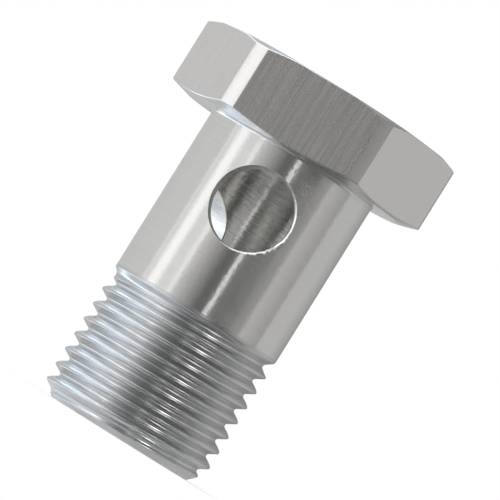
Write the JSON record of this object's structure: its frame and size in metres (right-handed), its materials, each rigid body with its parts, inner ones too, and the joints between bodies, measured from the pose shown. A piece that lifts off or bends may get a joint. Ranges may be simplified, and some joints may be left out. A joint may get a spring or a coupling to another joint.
{
  "type": "banjo bolt",
  "caption": "Hollow hex-head bolt with a short metric fine thread, a plain shank, a blind flow bore from the thread end and side ports that feed a banjo fitting.",
  "frame": {"origin": "centre of the thread's end face, where the axis meets the surface that the bolt stands on", "axes": "+Z runs along the axis from the thread to the head. -Y is the front, where one flat of the hexagon and the upper port face. +X is to the right of the front"},
  "size_m": [0.0246, 0.022, 0.0346],
  "materials": {
    "turned_aluminium": "bare, turned and milled, fine tool marks"
  },
  "bodies": {
    "root": {"banjo_bolt": "turned_aluminium"}
  },
  "joints": []
}
